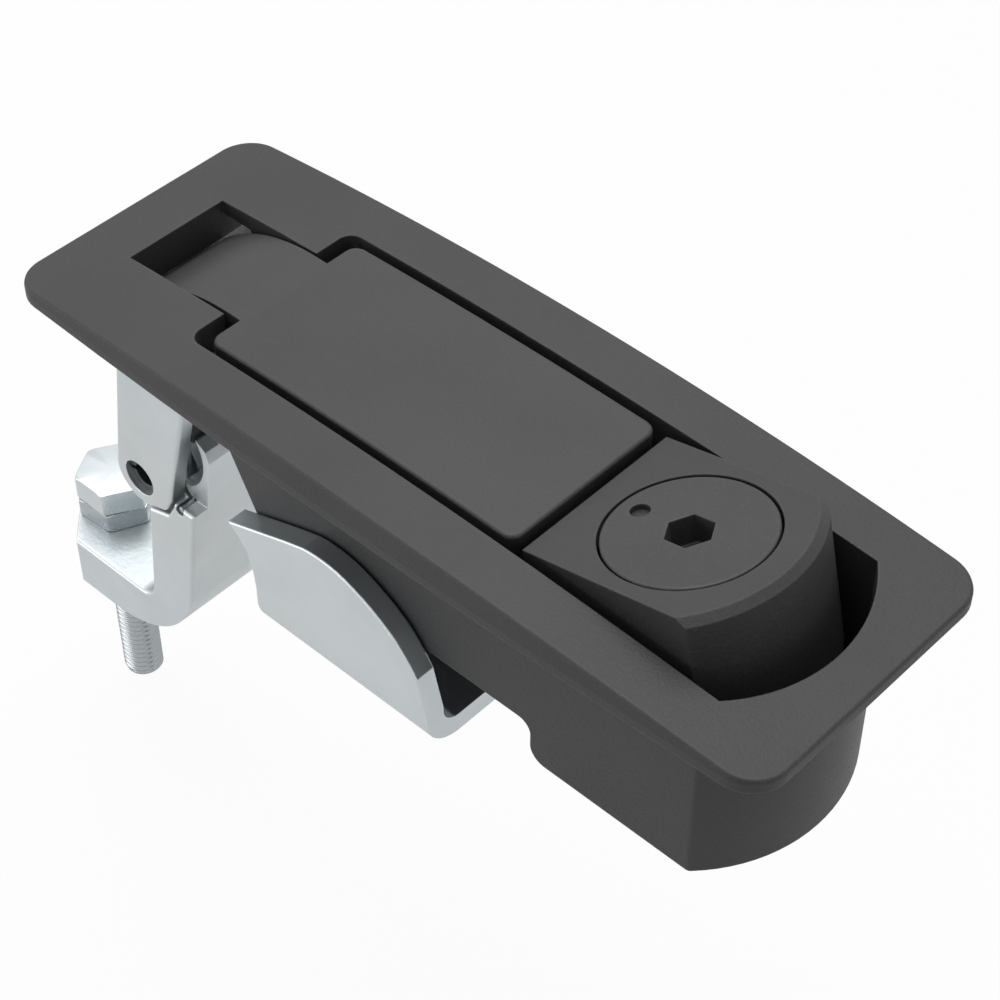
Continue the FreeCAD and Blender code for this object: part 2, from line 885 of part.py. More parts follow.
# Arms: two zinc-plated pressings, one on each side of the hub
def make_arm(label, side):
    """Build one arm; side is -1 for the near one and 1 for the far one."""
    body = new_body(label)
    shoulder_place = lever_pivot_place - arm_shoulder_reach
    shoulder_height = -(lever_pivot_depth - arm_shoulder_rise)
    heel_x = pawl_pivot_place + arm_heel_reach
    heel_z = -(pawl_pivot_depth + arm_heel_drop)
    shape = [
        (lever_pivot_place - arm_head_radius * 0.57, -(lever_pivot_depth - arm_head_radius * 0.8216)),
        (shoulder_place, shoulder_height),
        (lever_pivot_place - arm_back_reach, -(lever_pivot_depth + arm_back_drop)),
        (pawl_pivot_place - arm_foot_radius * 0.98889, -(pawl_pivot_depth - arm_foot_radius * 0.13333),
         arm_foot_radius),
        (pawl_pivot_place + arm_foot_radius * 0.15556, -(pawl_pivot_depth + arm_foot_radius * 0.98444)),
        (heel_x, heel_z),
        (pawl_pivot_place + arm_side_reach, -(pawl_pivot_depth + arm_side_drop)),
        (lever_pivot_place + arm_waist_reach, -(lever_pivot_depth + arm_waist_drop)),
        (lever_pivot_place + arm_head_radius * 0.6389, -(lever_pivot_depth + arm_head_radius * 0.77083),
         arm_head_radius),
    ]
    start = arm_outer if side < 0 else -arm_inner
    sketch = outline(body, f"{label}_outline", "XZ_Plane", shape, offset=start)
    pad(body, sketch, arm_thickness, backwards=True)

    def is_soft_corner(edge, middle):
        left_top = near(middle.x, shoulder_place.value) and near(middle.z, shoulder_height.value)
        foot_right = near(middle.x, heel_x.value) and near(middle.z, heel_z.value)
        return is_along(edge, AXIS_Y) and (left_top or foot_right)

    fillet(body, f"{label}_corners", is_soft_corner, arm_edge * 3)

    def is_outer_face_edge(edge, middle):
        return near(middle.y, (arm_outer * side).value)

    fillet(body, f"{label}_edge", is_outer_face_edge, arm_edge)
    bores = (
        ("pivot", lever_pivot_place, lever_pivot_depth, lever_pin_radius + running_gap),
        ("drive", drive_pin_place, drive_pin_depth, drive_pin_radius + fixed_gap),
        ("pawl", pawl_pivot_place, pawl_pivot_depth, pawl_pin_radius + fixed_gap),
    )
    for name, place, depth, radius in bores:
        bore = circle(body, f"{label}_{name}_bore", "XZ_Plane", place, -depth, radius)
        pocket(body, bore, 4 * arm_outer, symmetric=True)
    return body


# Pawl: a zinc-plated casting shaped like a J, with a foot for the adjusting bolt
def make_pawl():
    """Build the pawl."""
    body = new_body("pawl")
    post_right = pawl_pivot_place + post_right_reach
    post_left = pawl_pivot_place - post_left_reach
    shoulder = -(pawl_pivot_depth + post_shoulder_drop)
    web_root = -(pawl_pivot_depth + web_root_drop)
    lip_place = pawl_pivot_place + web_lip_reach
    web = [
        (pawl_pivot_place + horn_tip_reach, -(pawl_pivot_depth - horn_tip_rise)),
        (pawl_pivot_place + horn_crest_reach, -(pawl_pivot_depth - horn_crest_rise)),
        (pawl_pivot_place + horn_back_reach, -(pawl_pivot_depth - horn_back_rise)),
        (post_right, shoulder),
        (pawl_pivot_place + web_right_reach, web_root),
        (pawl_pivot_place + web_left_reach, web_root),
        (lip_place, -(pawl_pivot_depth + web_lip_drop)),
        (pocket_place - 0.5, -(pocket_depth + pocket_radius * 0.99755), pocket_radius),
    ]
    pad(body, outline(body, "web", "XZ_Plane", web), 2 * pawl_web_half_width, symmetric=True)
    foot_top = -foot_top_depth
    heel_reach = heel_place - foot_start
    heel_rise = root(heel_radius * heel_radius - heel_reach * heel_reach)
    lower = [
        (lip_place, -(pawl_pivot_depth + ledge_start_drop)),
        (pawl_pivot_place + ledge_mid_reach, -(pawl_pivot_depth + ledge_mid_drop)),
        (pawl_pivot_place + ledge_side_reach, -(pawl_pivot_depth + ledge_side_drop)),
        (pawl_pivot_place + ledge_end_reach, shoulder),
        (post_right, shoulder),
        (heel_place, -(foot_bottom_depth - heel_radius + heel_rise), -heel_radius),
        (foot_start, -foot_bottom_depth),
        (foot_tip_place, -foot_bottom_depth),
        (foot_tip_place, foot_top),
        (post_left, foot_top),
    ]
    pad(body, outline(body, "post_and_foot", "XZ_Plane", lower), 2 * arm_outer, symmetric=True)

    def is_inner_corner(edge, middle):
        return is_along(edge, AXIS_Y) and near(middle.x, post_left.value)

    fillet(body, "inner_corner", is_inner_corner, pawl_inner_corner)

    boss = circle(body, "pivot_boss", "XZ_Plane", pawl_pivot_place, -pawl_pivot_depth, pawl_boss_radius)
    pad(body, boss, 2 * pawl_boss_half_width, symmetric=True)
    for side in (-1, 1):
        start = arm_inner if side < 0 else -pawl_boss_half_width
        name = "coil_room_near" if side < 0 else "coil_room_far"
        room = circle(body, name, "XZ_Plane", pawl_pivot_place, -pawl_pivot_depth, coil_room, offset=start)
        pocket(body, room, arm_inner - pawl_boss_half_width)
    chamfer_reach = foot_shoulder_place - foot_tip_place
    for side in (-1, 1):
        tip = [
            (foot_tip_place - 1, (arm_outer + 1) * side),
            (foot_tip_place - 1, (arm_outer - chamfer_reach - 1) * side),
            (foot_shoulder_place + 1, (arm_outer + 1) * side),
        ]
        if side > 0:
            tip.reverse()
        name = "foot_chamfer_near" if side < 0 else "foot_chamfer_far"
        sketch = outline(body, name, "XY_Plane", tip, offset=-(foot_bottom_depth + 1))
        pocket(body, sketch, foot_thickness + 4, backwards=True)

    def is_foot_tip(edge, middle):
        return is_along(edge, AXIS_Z) and near(middle.x, foot_tip_place.value)

    fillet(body, "foot_tip", is_foot_tip, foot_corner)

    def is_side_edge(edge, middle):
        heel = middle.z < -foot_top_depth.value - 0.5 and middle.x > foot_shoulder_place.value + 1
        return near(abs(middle.y), arm_outer.value) and not heel

    fillet(body, "pawl_side_edges", is_side_edge, pawl_edge)
    bore = circle(body, "pawl_pin_bore", "XZ_Plane", pawl_pivot_place, -pawl_pivot_depth,
                  pawl_pin_radius + running_gap)
    pocket(body, bore, 4 * arm_outer, symmetric=True)
    bore = circle(body, "bolt_bore", "XY_Plane", bolt_place, 0, bolt_radius + running_gap,
                  offset=-(foot_bottom_depth + 1))
    pocket(body, bore, foot_thickness + 4, backwards=True)
    for side in (-1, 1):
        start = arm_outer + 0.5 if side < 0 else -(coil_end_side - 0.9)
        name = "spring_leg_notch_near" if side < 0 else "spring_leg_notch_far"
        notch = circle(body, name, "XZ_Plane", leg_end_place, -leg_end_depth,
                       pawl_spring_wire + side_gap, offset=start)
        pocket(body, notch, arm_outer - coil_end_side + 1.4)
        start = arm_inner if side < 0 else -(coil_end_side - 0.9)
        name = "spring_leg_groove_near" if side < 0 else "spring_leg_groove_far"
        groove = [
            (leg_end_place - 3.9, -(leg_end_depth - 1.45)),
            (leg_end_place - 0.44, -(leg_end_depth + 0.61)),
            (leg_end_place + 0.44, -(leg_end_depth - 0.61)),
            (leg_end_place - 2.9, -(leg_end_depth - 3.1)),
        ]
        sketch = outline(body, name, "XZ_Plane", groove, offset=start)
        pocket(body, sketch, arm_inner - coil_end_side + 0.9)
    return body


# Clamp bracket: a zinc-plated U whose two legs press on the back of the panel
def make_bracket():
    """Build the clamp bracket."""
    body = new_body("clamp_bracket")
    outer = bracket_inner + bracket_thickness
    bottom = -bracket_bottom_depth
    floor_height = bottom + bracket_thickness
    section = [
        (-outer, -8),
        (-outer, bottom),
        (outer, bottom),
        (outer, -8),
        (bracket_inner, -8),
        (bracket_inner, floor_height),
        (-bracket_inner, floor_height),
        (-bracket_inner, -8),
    ]
    length = bracket_right - bracket_left + 6
    sketch = outline(body, "section", "YZ_Plane", section, offset=bracket_left - 5)
    pad(body, sketch, length)

    def is_bend(edge, middle):
        return is_along(edge, AXIS_X) and middle.z < floor_height.value + 0.1

    def is_outer_bend(edge, middle):
        return is_bend(edge, middle) and near(middle.z, bottom.value)

    def is_inner_bend(edge, middle):
        return is_bend(edge, middle) and near(middle.z, floor_height.value)

    fillet(body, "outer_bend", is_outer_bend, bracket_bend + bracket_thickness)
    fillet(body, "inner_bend", is_inner_bend, bracket_bend)
    frame = new_sketch(body, "leg_shape", "XZ_Plane", None)
    leg = [
        (bracket_left - leg_tip_reach, -leg_tip_depth),
        (bracket_left - leg_neck_reach, -leg_neck_depth),
        (bracket_left - leg_hollow_reach, -leg_hollow_depth),
        (bracket_left - leg_flare_reach, -leg_flare_depth),
        (bracket_left, -leg_left_depth),
        (bracket_left, bottom - 1),
        (bracket_right, bottom - 1),
        (bracket_right, -leg_right_depth),
        (bracket_right - leg_side_reach, -leg_side_depth, leg_bow_radius),
        (bracket_right - leg_bow_reach, -leg_bow_depth, leg_bow_radius),
        (bracket_right - leg_crown_reach, -leg_crown_depth, leg_crown_radius),
        (bracket_left + leg_top_reach, -leg_top_depth),
        (bracket_left + leg_slope_reach, -leg_slope_depth),
    ]
    draw_outline(frame, leg)
    margin = [
        (bracket_left - 12, -4),
        (bracket_right + 8, -4),
        (bracket_right + 8, bottom - 4),
        (bracket_left - 12, bottom - 4),
    ]
    draw_outline(frame, margin)
    check(frame)
    pocket(body, frame, 4 * outer, symmetric=True)

    def is_leg_edge(edge, middle):
        return near(abs(middle.y), outer.value) and middle.z > bottom.value + 6

    fillet(body, "bracket_edges", is_leg_edge, bracket_edge)
    bore = circle(body, "clamp_hole", "XY_Plane", clamp_screw_place, 0,
                  clamp_screw_radius + side_gap, offset=bottom - 1)
    pocket(body, bore, bracket_thickness + 2, backwards=True)
    return body


# Push button: a black casting, built in its own tilted frame
def tilt(feature, along, below):
    """Place a piece that was built in the button's frame, along the button's top face and below it."""
    slope = button_tilt
    x_place = button_place + along * cosine(slope) + below * sine(slope)
    z_place = button_height + along * sine(slope) - below * cosine(slope)
    turn = Rotation(AXIS_Y, -slope.value)
    feature.Placement = FreeCAD.Placement(Vector(x_place.value, 0, z_place.value), turn)
    feature.setExpression("Placement.Base.x", x_place.text)
    feature.setExpression("Placement.Base.z", z_place.text)
    doc.recompute()


def make_button():
    """Build the push button."""
    body = new_body("button")
    arc = root(button_arc_radius * button_arc_radius - button_half_width * button_half_width)
    face = [
        (0, -button_half_width),
        (button_arc_centre + arc, -button_half_width, button_arc_radius),
        (button_arc_centre + arc, button_half_width),
        (0, button_half_width),
    ]
    pad(body, outline(body, "face", "XY_Plane", face), button_skirt, backwards=True)

    def is_end_edge(edge, middle):
        return near(middle.z, 0) and middle.x > (button_arc_centre + arc).value + 0.5

    chamfer(body, "end_bevel", is_end_edge, button_bevel)
    inner_half = button_half_width - button_wall
    inner_radius = button_arc_radius - button_wall
    inner_arc = root(inner_radius * inner_radius - inner_half * inner_half)
    hollow = [
        (button_wall, -inner_half),
        (button_arc_centre + inner_arc, -inner_half, inner_radius),
        (button_arc_centre + inner_arc, inner_half),
        (button_wall, inner_half),
    ]
    sketch = outline(body, "hollow", "XY_Plane", hollow, offset=-(button_skirt + 0.01))
    pocket(body, sketch, button_skirt - button_plate, backwards=True)
    across = button_pivot_place - button_place
    down = button_height + button_pivot_depth
    lug_x = across * cosine(button_tilt) - down * sine(button_tilt)
    lug_z = -(across * sine(button_tilt) + down * cosine(button_tilt))
    lug = circle(body, "pivot_lug", "XZ_Plane", lug_x, lug_z, button_lug_radius)
    pad(body, lug, 2 * button_half_width, symmetric=True)
    clear = [
        (lug_x - button_lug_radius - 1, -inner_half),
        (-0.01, -inner_half),
        (-0.01, inner_half),
        (lug_x - button_lug_radius - 1, inner_half),
    ]
    sketch = outline(body, "lug_gap", "XY_Plane", clear, offset=-(button_skirt + 1))
    pocket(body, sketch, 2 * button_lug_radius + 2, backwards=True)
    bore = circle(body, "pin_bore", "XZ_Plane", lug_x, lug_z, button_pin_radius + running_gap)
    pocket(body, bore, 4 * button_half_width, symmetric=True)
    nose = [
        (-nose_reach, -nose_depth),
        (-nose_reach * 0.5, -(nose_depth + nose_height / 2)),
        (1, -(nose_depth + nose_height / 2)),
        (1, -(nose_depth - nose_height / 2)),
        (-nose_reach, -(nose_depth - nose_height / 4)),
    ]
    pad(body, outline(body, "nose", "XZ_Plane", nose), 2 * nose_half_width, symmetric=True)
    bore = circle(body, "plug_seat", "XY_Plane", plug_place, 0, plug_radius + plug_gap)
    pocket(body, bore, plug_head)
    bore = circle(body, "plug_bore", "XY_Plane", plug_place, 0, stem_radius + running_gap)
    pocket(body, bore, button_plate + 1)
    tilt(body, as_size(0), as_size(0))
    return body


# Lock plug, with its retaining ring, cam and screw, all in the button's frame
def make_plug():
    """Build the lock plug and what turns with it."""
    body = new_body("lock_plug")
    groove_top = button_plate + 0.2
    seat_top = groove_top + ring_thickness + 0.5
    seat_bottom = seat_top + cam_thickness
    pad(body, circle(body, "plug_face", "XY_Plane", 0, 0, plug_radius), plug_head, backwards=True)
    stem = circle(body, "stem", "XY_Plane", 0, 0, stem_radius, offset=-(plug_head - 1))
    pad(body, stem, groove_top - plug_head + 1, backwards=True)
    neck = circle(body, "neck", "XY_Plane", 0, 0, ring_groove_radius, offset=-(groove_top - 1))
    pad(body, neck, seat_top - groove_top + 1, backwards=True)
    collar = circle(body, "collar", "XY_Plane", 0, 0, stem_radius, offset=-(groove_top + ring_thickness + 0.05))
    pad(body, collar, seat_top - groove_top - ring_thickness - 0.05, backwards=True)
    half = cam_seat / 2
    square = [(-half, -half), (half, -half), (half, half), (-half, half)]
    drive = outline(body, "drive", "XY_Plane", square, offset=-(seat_top - 1))
    pad(body, drive, cam_thickness + 0.95, backwards=True)

    def is_top_rim(edge, middle):
        return near(middle.z, 0) and near(math.hypot(middle.x, middle.y), plug_radius.value)

    fillet(body, "plug_rim", is_top_rim, plug_edge)
    corner = socket_flats / math.sqrt(3)
    half_flat = socket_flats / 2
    hexagon = [
        (corner, 0),
        (corner / 2, half_flat),
        (-corner / 2, half_flat),
        (-corner, 0),
        (-corner / 2, -half_flat),
        (corner / 2, -half_flat),
    ]
    pocket(body, outline(body, "socket", "XY_Plane", hexagon), socket_depth)
    dimple = circle(body, "dimple", "XY_Plane", -dimple_place, 0, dimple_radius)
    pocket(body, dimple, dimple_depth)
    tapped = circle(body, "tapped_hole", "XY_Plane", 0, 0, cam_screw_radius + running_gap,
                    offset=-(seat_bottom + 0.5))
    pocket(body, tapped, cam_screw_length + 0.6, backwards=True)
    tilt(body, plug_place, as_size(0))

    ring = new_body("plug_ring")
    pad(ring, circle(ring, "ring_outside", "XY_Plane", 0, 0, ring_radius), ring_thickness, backwards=True)
    pocket(ring, circle(ring, "ring_inside", "XY_Plane", 0, 0, ring_groove_radius + fixed_gap), 3)
    half_slot = ring_groove_radius * 0.55
    gap = [
        (0, -half_slot),
        (ring_radius + 1, -half_slot),
        (ring_radius + 1, half_slot),
        (0, half_slot),
    ]
    pocket(ring, outline(ring, "ring_mouth", "XY_Plane", gap), 3)
    tilt(ring, plug_place, groove_top + 0.02)

    cam = new_body("lock_cam")
    pad(cam, circle(cam, "cam_hub", "XY_Plane", 0, 0, cam_hub_radius), cam_thickness, backwards=True)
    finger = [
        (-cam_half_width, 0),
        (cam_half_width, 0),
        (cam_half_width, cam_reach),
        (-cam_half_width, cam_reach),
    ]
    pad(cam, outline(cam, "cam_finger", "XY_Plane", finger), cam_thickness, backwards=True)
    wide = half + fixed_gap
    hole = [(-wide, -wide), (wide, -wide), (wide, wide), (-wide, wide)]
    pocket(cam, outline(cam, "cam_hole", "XY_Plane", hole), 3)

    def is_cam_corner(edge, middle):
        return is_along(edge, AXIS_Z) and near(middle.y, cam_reach.value)

    fillet(cam, "cam_corners", is_cam_corner, as_size(1.2))
    tilt(cam, plug_place, seat_top)

    screw = new_body("cam_screw")
    pad(screw, circle(screw, "screw_head", "XY_Plane", 0, 0, cam_screw_head_radius),
        cam_screw_head_height, backwards=True)
    pad(screw, circle(screw, "screw_shank", "XY_Plane", 0, 0, cam_screw_radius), cam_screw_length)
    slot_half = cam_screw_radius * 0.25
    slot = [
        (-cam_screw_head_radius - 1, -slot_half),
        (cam_screw_head_radius + 1, -slot_half),
        (cam_screw_head_radius + 1, slot_half),
        (-cam_screw_head_radius - 1, slot_half),
    ]
    slot_sketch = outline(screw, "screw_slot", "XY_Plane", slot, offset=-(cam_screw_head_height + 0.5))
    pocket(screw, slot_sketch, 1.4, backwards=True)

    def is_head_rim(edge, middle):
        return near(math.hypot(middle.x, middle.y), cam_screw_head_radius.value) \
            and near(middle.z, -cam_screw_head_height.value)

    fillet(screw, "screw_head_rim", is_head_rim, as_size(0.5))
    tilt(screw, plug_place, seat_bottom)


# Pins, screws, washer and nut
def cylinder(name, radius, length, place, direction):
    """A cylinder that starts at a place and runs along a direction."""
    solid = doc.addObject("Part::Cylinder", name)
    radius = as_size(radius)
    length = as_size(length)
    solid.Radius = radius.value
    solid.setExpression("Radius", radius.text)
    solid.Height = length.value
    solid.setExpression("Height", length.text)
    move(solid, place, Rotation(AXIS_Z, direction))
    return solid


def move(solid, place, turn):
    """Put a primitive at a place and bind the place to the sheet."""
    sizes = [as_size(value) for value in place]
    solid.Placement = FreeCAD.Placement(Vector(*[size.value for size in sizes]), turn)
    for axis, size in zip("xyz", sizes):
        solid.setExpression(f"Placement.Base.{axis}", size.text)


def combine(kind, label, first, second, keep):
    """Join, cut or intersect two solids; keep says whether the result is a finished piece."""
    result = doc.addObject(kind, label)
    result.Base = first
    result.Tool = second
    check(result)
    if keep:
        result.Label = label
        nodes.append(result)
    return result


def keep_piece(solid, label):
    """Count a primitive as a finished piece."""
    solid.Label = label
    nodes.append(solid)
    return solid


def make_pins():
    """Build the lever pin, its ring, the drive pin, the button pin and the pawl's roll pin."""
    cheek_outer = cheek_inner + cheek_wall
    shaft = cylinder("lever_pin_shaft", lever_pin_radius, 2 * cheek_outer + 1.2 * pin_head_height,
                     (lever_pivot_place, -cheek_outer, -lever_pivot_depth), AXIS_Y)
    head = cylinder("lever_pin_head", pin_head_radius, pin_head_height,
                    (lever_pivot_place, -(cheek_outer + pin_head_height), -lever_pivot_depth), AXIS_Y)
    combine("Part::Fuse", "lever_pin", shaft, head, True)
    disc = cylinder("pin_ring_disc", pin_head_radius, pin_head_height * 0.8,
                    (lever_pivot_place, cheek_outer + 0.02, -lever_pivot_depth), AXIS_Y)
    hole = cylinder("pin_ring_hole", lever_pin_radius + fixed_gap, 3,
                    (lever_pivot_place, cheek_outer - 1, -lever_pivot_depth), AXIS_Y)
    combine("Part::Cut", "lever_pin_ring", disc, hole, True)
    drive_half = arm_outer - 0.2
    drive = cylinder("drive_pin_solid", drive_pin_radius, 2 * drive_half,
                     (drive_pin_place, -drive_half, -drive_pin_depth), AXIS_Y)
    keep_piece(drive, "drive_pin")
    blind = tub_half_width - blind_wall - 0.1
    pin = cylinder("button_pin_solid", button_pin_radius, blind + tub_half_width,
                   (button_pivot_place, -blind, -button_pivot_depth), AXIS_Y)
    keep_piece(pin, "button_pin")
    half = arm_outer - pawl_pin_recess
    outside = cylinder("pawl_pin_outside", pawl_pin_radius, 2 * half,
                       (pawl_pivot_place, -half, -pawl_pivot_depth), AXIS_Y)
    inside = cylinder("pawl_pin_inside", pawl_pin_bore, 2 * half + 2,
                      (pawl_pivot_place, -(half + 1), -pawl_pivot_depth), AXIS_Y)
    tube = combine("Part::Cut", "pawl_pin_tube", outside, inside, False)
    slit = doc.addObject("Part::Box", "pawl_pin_slit_box")
    for prop, size in (("Length", pawl_pin_radius + 1), ("Width", 2 * half + 2), ("Height", pawl_pin_slit)):
        setattr(slit, prop, size.value)
        slit.setExpression(prop, size.text)
    move(slit, (pawl_pivot_place - pawl_pin_radius - 1, -(half + 1),
                -(pawl_pivot_depth + pawl_pin_slit / 2)), Rotation())
    combine("Part::Cut", "pawl_pin", tube, slit, True)


def hexagon_head(name, flats, height, bottom, place, turn):
    """A hexagonal prism with its corners bevelled at the top."""
    prism = doc.addObject("Part::Prism", f"{name}_prism")
    prism.Polygon = 6
    around = flats / math.sqrt(3)
    prism.Circumradius = around.value
    prism.setExpression("Circumradius", around.text)
    prism.Height = height.value
    prism.setExpression("Height", height.text)
    move(prism, (place, 0, bottom), Rotation(AXIS_Z, turn))
    cone = doc.addObject("Part::Cone", f"{name}_bevel")
    top = flats / 2 * 0.96
    spread = height * math.sqrt(3)
    for prop, size in (("Radius1", top + spread), ("Radius2", top), ("Height", height)):
        setattr(cone, prop, size.value)
        cone.setExpression(prop, size.text)
    move(cone, (place, 0, bottom), Rotation())
    return combine("Part::Common", f"{name}_head", prism, cone, False)


def make_fasteners():
    """Build the adjusting bolt, its jam nut, and the bracket's screw and washer."""
    head = hexagon_head("bolt", bolt_head_flats, bolt_head_height, head_underside, bolt_place, 0)
    shank = cylinder("bolt_shank", bolt_radius, bolt_length + 0.5, (bolt_place, 0, head_underside + 0.5), -AXIS_Z)
    combine("Part::Fuse", "adjusting_bolt", head, shank, True)
    nut = hexagon_head("nut", bolt_head_flats, jam_nut_height, -foot_top_depth, bolt_place, 4)
    hole = cylinder("nut_hole", bolt_radius + running_gap, jam_nut_height + 2,
                    (bolt_place, 0, -(foot_top_depth + 1)), AXIS_Z)
    combine("Part::Cut", "jam_nut", nut, hole, True)
    plate_bottom = -bracket_bottom_depth
    disc = cylinder("washer_disc", washer_radius, washer_height,
                    (clamp_screw_place, 0, plate_bottom - washer_height), AXIS_Z)
    hole = cylinder("washer_hole", clamp_screw_radius + 0.2, washer_height + 2,
                    (clamp_screw_place, 0, plate_bottom - washer_height - 1), AXIS_Z)
    combine("Part::Cut", "clamp_washer", disc, hole, True)
    prism = doc.addObject("Part::Prism", "clamp_screw_head")
    prism.Polygon = 6
    around = clamp_head_flats / math.sqrt(3)
    prism.Circumradius = around.value
    prism.setExpression("Circumradius", around.text)
    prism.Height = clamp_head_height.value
    prism.setExpression("Height", clamp_head_height.text)
    head_bottom = plate_bottom - washer_height - clamp_head_height
    move(prism, (clamp_screw_place, 0, head_bottom), Rotation())
    shank = cylinder("clamp_screw_shank", clamp_screw_radius,
                     bracket_bottom_depth + washer_height - shallow_depth + 0.6,
                     (clamp_screw_place, 0, plate_bottom - washer_height - 0.5), AXIS_Z)
    combine("Part::Fuse", "clamp_screw", prism, shank, True)


# Springs
def coil(name, radius, wire, pitch, turns, place, direction):
    """A round wire wound into a helix."""
    helix = doc.addObject("Part::Helix", f"{name}_path")
    height = pitch * turns
    for prop, size in (("Pitch", pitch), ("Height", height), ("Radius", radius)):
        setattr(helix, prop, size.value)
        helix.setExpression(prop, size.text)
    section = doc.addObject("Part::Circle", f"{name}_section")
    section.Radius = wire.value
    section.setExpression("Radius", wire.text)
    section.Placement = FreeCAD.Placement(Vector(radius.value, 0, 0), Rotation(AXIS_X, 90))
    section.setExpression("Placement.Base.x", radius.text)
    doc.recompute()
    sweep = doc.addObject("Part::Sweep", name)
    sweep.Sections = [section]
    sweep.Spine = (helix, [f"Edge{index + 1}" for index in range(len(helix.Shape.Edges))])
    sweep.Solid = True
    sweep.Frenet = True
    move(sweep, place, Rotation(AXIS_Z, direction))
    return check(sweep)


def make_springs():
    """Build the button's compression spring and the pawl's pair of torsion springs."""
    floor_height = -(deep_depth - floor_wall)
    pitch = (button_spring_length - 2 * button_spring_wire) / button_spring_turns
    spring = coil("button_spring_coil", button_spring_radius, button_spring_wire, pitch, button_spring_turns,
                  (button_spring_place, button_spring_side, floor_height + button_spring_wire + 0.05), AXIS_Z)
    keep_piece(spring, "button_spring")
    coil_width = coil_end_side - coil_start_side + 2 * pawl_spring_wire
    start = (pawl_pivot_place, -(coil_end_side + pawl_spring_wire), -pawl_pivot_depth)
    outside = cylinder("pawl_spring_outside", pawl_spring_radius + pawl_spring_wire, coil_width, start, AXIS_Y)
    inside = cylinder("pawl_spring_inside", pawl_spring_radius - pawl_spring_wire, coil_width, start, AXIS_Y)
    near_one = combine("Part::Cut", "pawl_spring_near", outside, inside, False)
    far_one = doc.addObject("Part::Mirroring", "pawl_spring_far")
    far_one.Source = near_one
    far_one.Normal = AXIS_Y
    check(far_one)
    pair = doc.addObject("Part::Compound", "pawl_springs")
    pair.Links = [near_one, far_one]
    check(pair)
    keep_piece(pair, "pawl_springs")


make_pan()
make_lever()
make_arm("arm_near", -1)
make_arm("arm_far", 1)
make_pawl()
make_bracket()
make_button()
make_plug()
make_pins()
make_fasteners()
make_springs()
doc.recompute()
for piece in doc.Objects:
    if "Invalid" in piece.State or "Error" in piece.State:
        raise RuntimeError(f"{piece.Name} failed: {piece.State}")
for node in nodes:
    shape = node.Shape
    if shape.isNull() or not shape.isValid():
        raise RuntimeError(f"{node.Label} is not sound")
for node in nodes:
    node.Shape.exportStep(f"parts/{node.Label}.step")
    box = node.Shape.BoundBox
    print(node.Label, round(node.Shape.Volume, 1), len(node.Shape.Solids),
          [round(value, 2) for value in (box.XMin, box.YMin, box.ZMin, box.XMax, box.YMax, box.ZMax)])
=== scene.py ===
import math

import bmesh
import bpy
from mathutils import Matrix, Vector


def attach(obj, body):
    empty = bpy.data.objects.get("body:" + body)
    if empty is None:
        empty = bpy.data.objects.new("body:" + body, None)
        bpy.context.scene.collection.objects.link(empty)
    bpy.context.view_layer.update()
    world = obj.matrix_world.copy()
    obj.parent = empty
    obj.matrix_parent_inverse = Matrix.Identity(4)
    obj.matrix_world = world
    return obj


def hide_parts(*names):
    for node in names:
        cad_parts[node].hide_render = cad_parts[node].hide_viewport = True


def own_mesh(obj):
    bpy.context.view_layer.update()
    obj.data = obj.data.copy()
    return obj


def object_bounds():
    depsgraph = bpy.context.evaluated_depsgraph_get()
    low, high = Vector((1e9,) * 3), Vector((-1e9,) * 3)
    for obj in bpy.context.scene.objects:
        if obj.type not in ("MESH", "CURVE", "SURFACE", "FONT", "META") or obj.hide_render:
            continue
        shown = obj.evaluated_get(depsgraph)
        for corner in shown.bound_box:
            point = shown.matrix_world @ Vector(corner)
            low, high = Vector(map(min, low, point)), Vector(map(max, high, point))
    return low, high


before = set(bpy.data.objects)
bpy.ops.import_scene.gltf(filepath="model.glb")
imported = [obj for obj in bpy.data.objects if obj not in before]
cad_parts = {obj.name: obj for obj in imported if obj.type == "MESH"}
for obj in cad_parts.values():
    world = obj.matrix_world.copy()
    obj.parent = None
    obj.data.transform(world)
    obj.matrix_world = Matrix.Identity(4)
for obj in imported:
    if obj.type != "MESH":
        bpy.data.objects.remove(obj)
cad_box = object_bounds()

scene = bpy.context.scene

# Camera and studio
# The camera stands where the photograph was taken from. A broad soft box hangs above, a card stands low at
# the front left and a faint one at the right, and a pale sweep of paper lies under the latch.
scene.view_settings.view_transform = "Standard"
camera_right = Vector((0.73238, 0.68089, 0.00062))
camera_up = Vector((-0.48393, 0.51989, 0.70394))
camera_back = Vector((0.47899, -0.51585, 0.71026))
camera_place = Vector((0.13756, -0.14298, 0.18927))
camera_data = bpy.data.cameras.new("photo_lens")
camera_data.lens = 87.86
camera_data.sensor_width = 36.0
camera_data.clip_start = 0.01
camera = bpy.data.objects.new("photo_camera", camera_data)
scene.collection.objects.link(camera)
camera_turn = Matrix((camera_right, camera_up, camera_back)).transposed().to_4x4()
camera.matrix_world = Matrix.Translation(camera_place) @ camera_turn
scene.camera = camera


class Socket:
    """A node's output that takes part in sums, differences and products."""

    def __init__(self, maker, link):
        self.maker = maker
        self.link = link

    def _math(self, operation, first, second):
        return self.maker.node("ShaderNodeMath", {"operation": operation}, {0: first, 1: second})

    def __add__(self, other):
        return self._math("ADD", self, other)

    def __radd__(self, other):
        return self._math("ADD", other, self)

    def __sub__(self, other):
        return self._math("SUBTRACT", self, other)

    def __rsub__(self, other):
        return self._math("SUBTRACT", other, self)

    def __mul__(self, other):
        return self._math("MULTIPLY", self, other)

    def __rmul__(self, other):
        return self._math("MULTIPLY", other, self)


